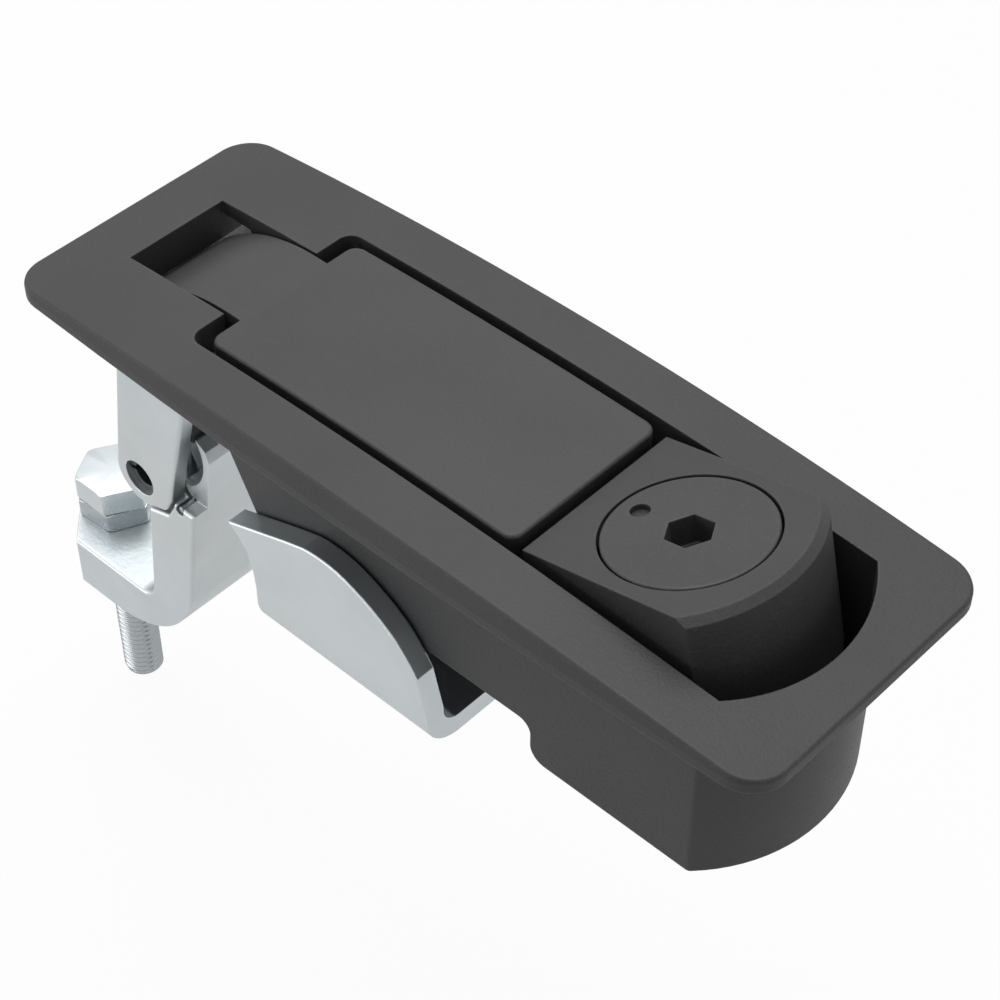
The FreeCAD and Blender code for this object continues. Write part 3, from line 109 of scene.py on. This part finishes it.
class NodeMaker:
    """Adds nodes to one tree of nodes."""

    def __init__(self, tree):
        self.nodes = tree.nodes
        self.links = tree.links

    def node(self, kind, settings, inputs, output=0):
        """Add a node, apply its settings, fill its sockets and give back one output."""
        made = self.nodes.new(kind)
        for key, value in settings.items():
            setattr(made, key, value)
        for key, value in inputs.items():
            self.feed(made.inputs[key], value)
        return Socket(self, made.outputs[output])

    def feed(self, target, value):
        """Link a socket or set a constant."""
        if isinstance(value, Socket):
            self.links.new(value.link, target)
        else:
            target.default_value = value

    def ray(self, kind):
        """1 for rays of one kind, such as those straight from the camera, and 0 for the others."""
        return self.node("ShaderNodeLightPath", {}, {}, kind)

    def stretch(self, value, source, result):
        """Carry a value from one range over to another and hold it there."""
        inputs = {"Value": value, "From Min": source[0], "From Max": source[1],
                  "To Min": result[0], "To Max": result[1]}
        return self.node("ShaderNodeMapRange", {}, inputs)


class Finish(NodeMaker):
    """A material with its main shader."""

    def __init__(self, name):
        self.material = bpy.data.materials.new(name)
        self.material.use_nodes = True
        super().__init__(self.material.node_tree)
        self.shader = self.nodes["Principled BSDF"]
        self.coordinates = self.node("ShaderNodeTexCoord", {}, {}, "Object")

    def set(self, **inputs):
        """Fill the main shader's sockets; underscores stand for blanks."""
        for key, value in inputs.items():
            self.feed(self.shader.inputs[key.replace("_", " ")], value)

    def noise(self, scale, detail=2.0, rough=0.5, coordinates=None):
        """Soft random values from 0 to 1."""
        inputs = {"Vector": coordinates or self.coordinates, "Scale": scale,
                  "Detail": detail, "Roughness": rough}
        return self.node("ShaderNodeTexNoise", {}, inputs)

    def mix(self, share, first, second):
        """Blend two colours."""
        inputs = {0: share, 6: first, 7: second}
        return self.node("ShaderNodeMix", {"data_type": "RGBA"}, inputs, 2)


def grey(level, tint=(1.0, 1.0, 1.0)):
    """A neutral colour with a slight tint."""
    return (level * tint[0], level * tint[1], level * tint[2], 1.0)


def lamp(name, place, target, size, power):
    """A rectangular soft light."""
    data = bpy.data.lights.new(name, "AREA")
    data.shape = "RECTANGLE"
    data.size = size[0]
    data.size_y = size[1]
    data.energy = power
    light = bpy.data.objects.new(name, data)
    scene.collection.objects.link(light)
    light.location = place
    light.rotation_euler = (Vector(target) - Vector(place)).to_track_quat("-Z", "Y").to_euler()


latch_middle = (0, 0, -0.02)
pawl_side = (-0.06, 0, -0.05)
lamp("top_softbox", place=(-0.14, 0.10, 0.60), target=latch_middle, size=(0.6, 0.6), power=4.2)
lamp("front_card", place=(-0.38, -0.42, 0.00), target=pawl_side, size=(0.6, 0.28), power=1.15)
lamp("right_card", place=(0.60, 0.05, 0.12), target=latch_middle, size=(0.4, 0.4), power=0.15)

# The room fills the shadows with a weak light, and looks white to the eye and in metal and glass.
room_light = 0.20
white_strength = 1.0
world = bpy.data.worlds.new("studio")
world.use_nodes = True
scene.world = world
room = NodeMaker(world.node_tree)
room_shown = room.ray("Is Camera Ray") + room.ray("Is Transmission Ray") + room.ray("Is Glossy Ray")
background = room.nodes["Background"]
room.feed(background.inputs["Color"], grey(1.0))
room.feed(background.inputs["Strength"], room.stretch(room_shown, (0.0, 1.0), (room_light, white_strength)))

# The paper lies half a millimetre below the lowest point. It glows to the eye, so that it stays white and
# keeps a soft shadow, and it is see-through from below, so that the latch shows from there too.
paper_reach = 3.0
paper_gap = 0.0005
glow_share = 0.95
mirrored_glow = 0.6
floor_mesh = bpy.data.meshes.new("paper_sweep")
floor_shape = bmesh.new()
floor_height = cad_box[0][2] - paper_gap
for x_side, y_side in ((-1, -1), (1, -1), (1, 1), (-1, 1)):
    floor_shape.verts.new((x_side * paper_reach, y_side * paper_reach, floor_height))
floor_shape.faces.new(floor_shape.verts)
floor_shape.to_mesh(floor_mesh)
floor_shape.free()
floor = bpy.data.objects.new("paper_sweep", floor_mesh)
scene.collection.objects.link(floor)
paper = Finish("white_paper")
fibres = paper.noise(scale=900.0, detail=3.0)
paper.set(Base_Color=paper.mix(fibres, grey(0.80), grey(0.84)), Roughness=0.9)
matte = Socket(paper, paper.shader.outputs[0])
glow = paper.node("ShaderNodeEmission", {}, {"Color": grey(1.0), "Strength": white_strength})
eye = paper.ray("Is Camera Ray")
shown = (eye + paper.ray("Is Glossy Ray") * mirrored_glow + paper.ray("Is Transmission Ray")) * glow_share
lit = paper.node("ShaderNodeMixShader", {}, {0: shown, 1: matte, 2: glow})
underside = paper.node("ShaderNodeNewGeometry", {}, {}, "Backfacing")
clear = paper.node("ShaderNodeBsdfTransparent", {}, {})
one_sided = paper.node("ShaderNodeMixShader", {}, {0: underside * eye, 1: lit, 2: clear})
paper.feed(paper.nodes["Material Output"].inputs["Surface"], one_sided)
floor_mesh.materials.append(paper.material)


# Pan
# The housing is one zinc casting: the bezel with its crowned face, the deep tub and the two plates that hold
# the lever's pin. It is powder coated in a fine-textured matte black.
def dress(node, finish):
    """Give a carried-over solid its finish."""
    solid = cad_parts[node]
    if not solid.data.materials:
        solid.data.materials.append(None)
    for place in solid.material_slots:
        place.link = "OBJECT"
        place.material = finish.material


def edges(finish, width):
    """1 on outer edges, where a slightly rounded edge would turn away from the flat face, and 0 elsewhere."""
    rounded = finish.node("ShaderNodeBevel", {"samples": 4}, {"Radius": width})
    plain = finish.node("ShaderNodeNewGeometry", {}, {}, "Normal")
    likeness = finish.node("ShaderNodeVectorMath", {"operation": "DOT_PRODUCT"},
                           {0: rounded, 1: plain}, "Value")
    return 1.0 - finish.stretch(likeness, (0.9, 0.995), (0.0, 1.0))


def bump(finish, height, distance, strength, soft_edge=0.00025):
    """Feed a height into the shader's normal, over edges that are slightly rounded."""
    inputs = {"Height": height, "Distance": distance, "Strength": strength}
    if soft_edge:
        inputs["Normal"] = finish.node("ShaderNodeBevel", {"samples": 6}, {"Radius": soft_edge})
    finish.set(Normal=finish.node("ShaderNodeBump", {}, inputs))


def powder_black(name, level, grain_scale=4000.0, grain_depth=0.00004, rough=0.5):
    """Fine-grained powder coat with a faint mottling, and edges painted paler in patches as a painted
    highlight.
    """
    coat = Finish(name)
    grain = coat.noise(grain_scale, detail=2.0, rough=0.6)
    clouds = coat.noise(scale=60.0, detail=3.0)
    pits = coat.node("ShaderNodeTexVoronoi", {}, {"Vector": coat.coordinates, "Scale": grain_scale * 0.55})
    mottling = coat.stretch(clouds, (0.3, 0.7), (level * 0.92, level * 1.10))
    sparkle = coat.stretch(grain, (0.52, 0.75), (0.0, level * 0.45))
    shade = mottling + sparkle
    cool_black = coat.node("ShaderNodeCombineColor", {}, {0: shade, 1: shade * 1.01, 2: shade * 1.04})
    # Painted highlight: the edges are painted paler in patches, where a slightly rounded edge would catch the
    # light.
    highlight_patches = coat.stretch(coat.noise(scale=300.0, detail=3.0), (0.35, 0.65), (0.2, 1.0))
    painted_edge_highlight = edges(coat, width=0.0005) * highlight_patches * 0.35
    coat.set(Base_Color=coat.mix(painted_edge_highlight, cool_black, grey(level * 3.0)))
    coat.set(Roughness=coat.stretch(grain, (0.3, 0.7), (rough - 0.06, rough + 0.08)))
    coat.set(Specular_IOR_Level=0.30)
    bump(coat, grain * 0.7 + pits * 0.5, distance=grain_depth, strength=0.9)
    return coat


dress("pan", powder_black("powder_coat_black", 0.040))

# Lever
# The flush plate, the tongue and the hub are one zinc casting that swings on the long pin.
# It is powder coated like the housing; its coat is painted a shade paler than the housing's, as painted light
# on its face.
dress("lever", powder_black("powder_coat_lever_painted_light", 0.044))

# Push button
# A hollow zinc casting with a D-shaped face, coated like the housing. It tips on its own pin, and the lock
# plug sits in its round seat.
dress("button", powder_black("powder_coat_button", 0.038))

# Lock plug
# A turned plug with a smoother black coat, held in the button by a ring. It has a hexagon socket for the key
# and a dimple that marks its position.
plug_coat = powder_black("smooth_black_plug", 0.044, grain_scale=3600.0, grain_depth=0.00002, rough=0.42)
dress("lock_plug", plug_coat)


# Arms
# Two pressed steel arms that turn with the lever. They are barrel tumbled and bright zinc plated, with a soft
# bluish sheen and a painted highlight on their edges.
def bright_zinc(name, level, rough, skin=0.00003, grain=(1.0, 1.0, 1.0), edge_highlight_share=0.5, soft_edge=0.00025):
    """Zinc plating: bluish white metal with cloudy passivation and fine tumbling marks."""
    metal = Finish(name)
    clouds = metal.noise(scale=110.0, detail=4.0, rough=0.55)
    blotches = metal.noise(scale=38.0, detail=2.0)
    along_grain = metal.node("ShaderNodeMapping", {}, {"Vector": metal.coordinates, "Scale": grain})
    marks = metal.noise(scale=1500.0, detail=3.0, rough=0.6, coordinates=along_grain)
    pitting = metal.noise(scale=420.0, detail=3.0)
    bluish = grey(level, (0.93, 1.0, 1.03))
    whitish = grey(level * 0.96, (0.96, 1.0, 1.01))
    dull = grey(level * 0.84, (0.92, 1.0, 1.03))
    tint = metal.mix(metal.stretch(blotches, (0.35, 0.68), (0.0, 1.0)), bluish, whitish)
    plating = metal.mix(metal.stretch(clouds, (0.3, 0.75), (0.0, 0.45)), tint, dull)
    # Painted highlight: the edges are painted paler, where a slightly rounded edge would catch the light.
    if edge_highlight_share:
        painted_edge_highlight = grey(min(level * 1.25, 0.95), (0.96, 1.0, 1.02))
        plating = metal.mix(edges(metal, width=0.0004) * edge_highlight_share, plating, painted_edge_highlight)
    metal.set(Base_Color=plating, Metallic=0.9)
    haze = clouds + marks * 0.5
    metal.set(Roughness=metal.stretch(haze, (0.4, 1.1), (rough - 0.05, rough + 0.12)))
    bump(metal, marks * 0.6 + pitting * 0.7, distance=skin, strength=0.8, soft_edge=soft_edge)
    return metal


arm_zinc = bright_zinc("zinc_plated_arm", 0.62, 0.33)
for node in ("arm_near", "arm_far"):
    dress(node, arm_zinc)

# Pawl
# A zinc-plated casting shaped like a J, with slightly grainy skin and soft edges. It hangs between the arms on
# the roll pin, and its foot carries the adjusting bolt.
dress("pawl", bright_zinc("zinc_plated_casting", 0.62, 0.36, skin=0.00006))

# Clamp bracket with its washer and screw
# The bracket is bent from sheet steel, zinc plated and screwed under the tub. The rolling marks run along the
# sheet.
dress("clamp_bracket", bright_zinc("zinc_plated_sheet", 0.64, 0.29, grain=(0.15, 1.0, 1.0)))
dress("clamp_washer", bright_zinc("zinc_plated_washer", 0.56, 0.30))
screw_zinc = bright_zinc("zinc_plated_screw", 0.56, 0.28)
dress("clamp_screw", screw_zinc)

# Pins
# Plain steel pins and rings, darker than the plated parts, pressed or clipped into the castings.
# The pawl's roll pin is oiled dark steel.
pin_steel = bright_zinc("plain_pin_steel", 0.42, 0.34)
for node in ("lever_pin", "lever_pin_ring", "drive_pin", "button_pin", "plug_ring"):
    dress(node, pin_steel)
dress("pawl_pin", bright_zinc("oiled_roll_pin", 0.12, 0.38))

# Lock cam and its screw
# A small zinc-plated steel cam under the button, screwed to the plug so that it turns with the key.
dress("lock_cam", bright_zinc("zinc_plated_cam", 0.56, 0.30))
dress("cam_screw", screw_zinc)


# Adjusting bolt and jam nut
# An M6 bolt with a bevelled hexagon head, screwed through the pawl's foot and locked with a thin nut.
# Both are bright plated steel, and the thread is cut round the shank.
bolt_axis = (-0.0695, 0.0)
hexagon_flats = 0.010
hexagon_steps = 96
hexagon_bevel_slope = math.tan(math.radians(28.0))
hexagon_face_radius = hexagon_flats / 2 * 1.06
hexagon_blunting = 0.00008
hexagon_corner_radius = hexagon_flats / math.sqrt(3) - hexagon_blunting
hole_chamfer = 0.0003
head_centre_radius = 0.0004
top_rounding = ((0.00010, 0.00002), (0.00003, 0.00007), (0.0, 0.00018))
bottom_rounding = ((0.0, 0.00018), (0.00008, 0.00004))
top_face_inset = 0.00022
top_face_margin = 0.00010
bottom_face_inset = 0.00020
smooth_up_to = math.radians(24.0)
thread_steps_round = 40
thread_rows_a_turn = 8
thread_radius = 0.00294
thread_pitch = 0.0010
thread_depth = 0.00042
thread_flank_share = 1.25
thread_crest_share = 0.12
shank_taper_length = 0.0006
shank_taper_depth = 0.0005


def link_piece(name, mesh, body, finish):
    """Put a mesh in the scene as a piece that rides on a body."""
    piece = bpy.data.objects.new(name, mesh)
    scene.collection.objects.link(piece)
    piece.data.materials.append(finish.material)
    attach(piece, body)
    return piece


def bolt_ring(shape, steps, radius_at, height_at):
    """Points round the bolt's axis, each with its own radius and height."""
    ring = []
    for step in range(steps):
        angle = 2 * math.pi * step / steps
        radius = radius_at(step, angle)
        ring.append(shape.verts.new((bolt_axis[0] + radius * math.cos(angle),
                                     bolt_axis[1] + radius * math.sin(angle), height_at(radius))))
    return ring


def skin_rings(shape, pairs):
    """Join each pair of rings, the upper one first, with a belt of faces."""
    for upper, lower in pairs:
        for step, corner in enumerate(lower):
            following = (step + 1) % len(lower)
            shape.faces.new((corner, lower[following], upper[following], upper[step]))


def finish_mesh(name, shape):
    """Turn a shape in the making into a mesh."""
    mesh = bpy.data.meshes.new(name)
    shape.to_mesh(mesh)
    shape.free()
    return mesh


def threaded_rod(name, low, high):
    """A rod with a V-shaped thread cut round it and tapered ends."""
    shape = bmesh.new()
    rings = []
    rows = int((high - low) / thread_pitch * thread_rows_a_turn)
    for row in range(rows + 1):
        height = low + (high - low) * row / rows
        from_end = min(height - low, high - height)
        full_size = min(max(from_end / shank_taper_length, 0.0), 1.0)

        def radius_at(step, angle):
            phase = (height / thread_pitch - step / thread_steps_round) % 1.0
            slope = 2.0 * abs(phase - 0.5) * thread_flank_share - thread_crest_share
            valley = min(max(slope, 0.0), 1.0)
            return thread_radius - thread_depth * valley - (1 - full_size) * shank_taper_depth

        rings.append(bolt_ring(shape, thread_steps_round, radius_at, lambda radius: height))
    skin_rings(shape, zip(rings[1:], rings))
    for face in shape.faces:
        face.smooth = True
    shape.faces.new(list(reversed(rings[0])))
    shape.faces.new(rings[-1])
    return finish_mesh(name, shape)


def hexagon(name, low, high, turn=0.0, hole=0.0, both=False):
    """A hexagon with bevelled corners on top, and also below where asked, with or without a hole."""
    shape = bmesh.new()
    inner_radius = hole + hole_chamfer if hole else head_centre_radius

    def reach(angle):
        """How far the six flats reach from the axis, with slightly blunted corners."""
        from_flat = (angle - math.radians(turn)) % (math.pi / 3) - math.pi / 6
        return min(hexagon_flats / 2 / math.cos(from_flat), hexagon_corner_radius)

    def bevel_drop(radius):
        """How far the bevel stands back from the face at a radius."""
        return max(radius - hexagon_face_radius, 0.0) * hexagon_bevel_slope

    def ring(radius_of, height_at):
        return bolt_ring(shape, hexagon_steps, lambda step, angle: radius_of(angle), height_at)

    def top_at(radius, down):
        return high - bevel_drop(radius) - down

    def bottom_at(radius, up):
        return low + (bevel_drop(radius) if both else 0.0) + up

    def top_face_radius(angle):
        return min(reach(angle) - top_face_inset, hexagon_face_radius - top_face_margin)

    def bottom_face_radius(angle):
        return min(reach(angle) - bottom_face_inset, hexagon_face_radius)

    levels = [ring(lambda angle: inner_radius, lambda radius: high)]
    levels.append(ring(top_face_radius, lambda radius: high))
    for inward, down in top_rounding:
        levels.append(ring(lambda angle: reach(angle) - inward, lambda radius: top_at(radius, down)))
    for inward, up in bottom_rounding:
        levels.append(ring(lambda angle: reach(angle) - inward, lambda radius: bottom_at(radius, up)))
    levels.append(ring(bottom_face_radius, lambda radius: low))
    levels.append(ring(lambda angle: inner_radius, lambda radius: low))
    skin_rings(shape, zip(levels, levels[1:]))
    if hole:
        wall_top = ring(lambda angle: hole, lambda radius: high - hole_chamfer)
        wall_bottom = ring(lambda angle: hole, lambda radius: low + hole_chamfer)
        skin_rings(shape, ((wall_top, levels[0]), (wall_bottom, wall_top), (levels[-1], wall_bottom)))
    else:
        shape.faces.new(levels[0])
        shape.faces.new(list(reversed(levels[-1])))
    bmesh.ops.recalc_face_normals(shape, faces=shape.faces)
    for face in shape.faces:
        face.smooth = True
    for edge in shape.edges:
        if len(edge.link_faces) == 2 and edge.calc_face_angle(0.0) > smooth_up_to:
            edge.smooth = False
    return finish_mesh(name, shape)


bolt_zinc = bright_zinc("zinc_plated_bolt", 0.64, 0.28, skin=0.000004, edge_highlight_share=0.0, soft_edge=0.0)
# Painted shade: the nut and the thread carry the bolt's plating painted darker, for the shade below the head
# and in the thread's valleys.
nut_zinc_painted_shade = bright_zinc("zinc_plated_nut_painted_shade", 0.46, 0.24, skin=0.000004, edge_highlight_share=0.0, soft_edge=0.0)
thread_zinc_painted_shade = bright_zinc("zinc_plated_thread_painted_shade", 0.40, 0.24, skin=0.000002, edge_highlight_share=0.0, soft_edge=0.0)
head_mesh = hexagon("bolt_head", low=-0.05637, high=-0.0524)
bolt_head = link_piece("bolt_head", head_mesh, "bolt", bolt_zinc)
thread_mesh = threaded_rod("bolt_thread", low=-0.0940, high=-0.0562)
bolt_thread = link_piece("bolt_thread", thread_mesh, "bolt", thread_zinc_painted_shade)
for piece in (bolt_head, bolt_thread):
    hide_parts("adjusting_bolt")
nut_mesh = hexagon("jam_nut_turned", low=-0.0596, high=-0.0564, turn=4.0, hole=0.00300, both=True)
jam_nut = link_piece("jam_nut_turned", nut_mesh, "pawl", nut_zinc_painted_shade)
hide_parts("jam_nut")


# Pawl springs
# Two torsion springs wound from round steel wire beside the pawl. One leg stands up against the lever's hub,
# and the other is tucked into a notch beside the pawl's ledge.
def wire_piece(name, points, radius, body, finish):
    """Round spring wire that follows a line of points."""
    data = bpy.data.curves.new(name, "CURVE")
    data.dimensions = "3D"
    data.bevel_depth = radius
    data.bevel_resolution = 3
    data.use_fill_caps = True
    line = data.splines.new("POLY")
    line.points.add(len(points) - 1)
    for target, point in zip(line.points, points):
        target.co = (point[0], point[1], point[2], 1.0)
    line.use_smooth = True
    path = bpy.data.objects.new(f"{name}_path", data)
    mesh = bpy.data.meshes.new_from_object(path)
    bpy.data.objects.remove(path)
    for face in mesh.polygons:
        face.use_smooth = True
    return link_piece(name, mesh, body, finish)


spring_steel = bright_zinc("drawn_spring_wire", 0.48, 0.30)
coil_centre = Vector((-0.0513, 0.0, -0.0355))
coil_radius = 0.00375
coil_wire = 0.00045
coil_turns = 1.849
coil_steps = 90
coil_inner_side = 0.00345
coil_pitch = 0.0012
coil_outer_side = coil_inner_side + coil_pitch * coil_turns
upper_leg_top = -0.0263
lower_leg_end = Vector((-0.0436, 0.0, -0.0364))
lower_leg_straight_share = 0.85
lower_leg_rounding = (-0.0002, 0.0002, 0.0001)
lower_leg_bend = 0.0008
lower_leg_side = 0.0086
for side, label in ((-1, "near"), (1, "far")):
    points = [(coil_centre.x + coil_radius, side * coil_inner_side, upper_leg_top)]
    for step in range(coil_steps + 1):
        wound = coil_turns * step / coil_steps
        angle = -2 * math.pi * wound
        points.append((coil_centre.x + coil_radius * math.cos(angle),
                       side * (coil_inner_side + coil_pitch * wound),
                       coil_centre.z + coil_radius * math.sin(angle)))
    coil_end = Vector(points[-1])
    bend = Vector((lower_leg_end.x, side * coil_outer_side, lower_leg_end.z))
    points.append(tuple(coil_end.lerp(bend, lower_leg_straight_share)))
    rounding = Vector((lower_leg_rounding[0], side * lower_leg_rounding[1], lower_leg_rounding[2]))
    points.append(tuple(bend + rounding))
    points.append((lower_leg_end.x, side * (coil_outer_side + lower_leg_bend), lower_leg_end.z))
    points.append((lower_leg_end.x, side * lower_leg_side, lower_leg_end.z))
    spring = wire_piece(f"pawl_spring_{label}", points, coil_wire, "pawl", spring_steel)
    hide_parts("pawl_springs")

# Button spring
# A compression spring wound from thinner wire of the same steel. It stands on the tub's floor under the
# button, as one fixed coil that rides on the housing.
button_seat = Vector((0.0410, -0.0064, -0.02235))
button_coil_radius = 0.0025
button_coil_wire = 0.00035
button_coil_turns = 8.0
button_coil_height = 0.0213
button_coil_steps = 320
points = []
for step in range(button_coil_steps + 1):
    share = step / button_coil_steps
    angle = 2 * math.pi * button_coil_turns * share
    rise = button_coil_wire + (button_coil_height - 2 * button_coil_wire) * share
    points.append((button_seat.x + button_coil_radius * math.cos(angle),
                   button_seat.y + button_coil_radius * math.sin(angle), button_seat.z + rise))
button_coil = wire_piece("button_coil", points, button_coil_wire, "housing", spring_steel)
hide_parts("button_spring")
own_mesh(button_coil)
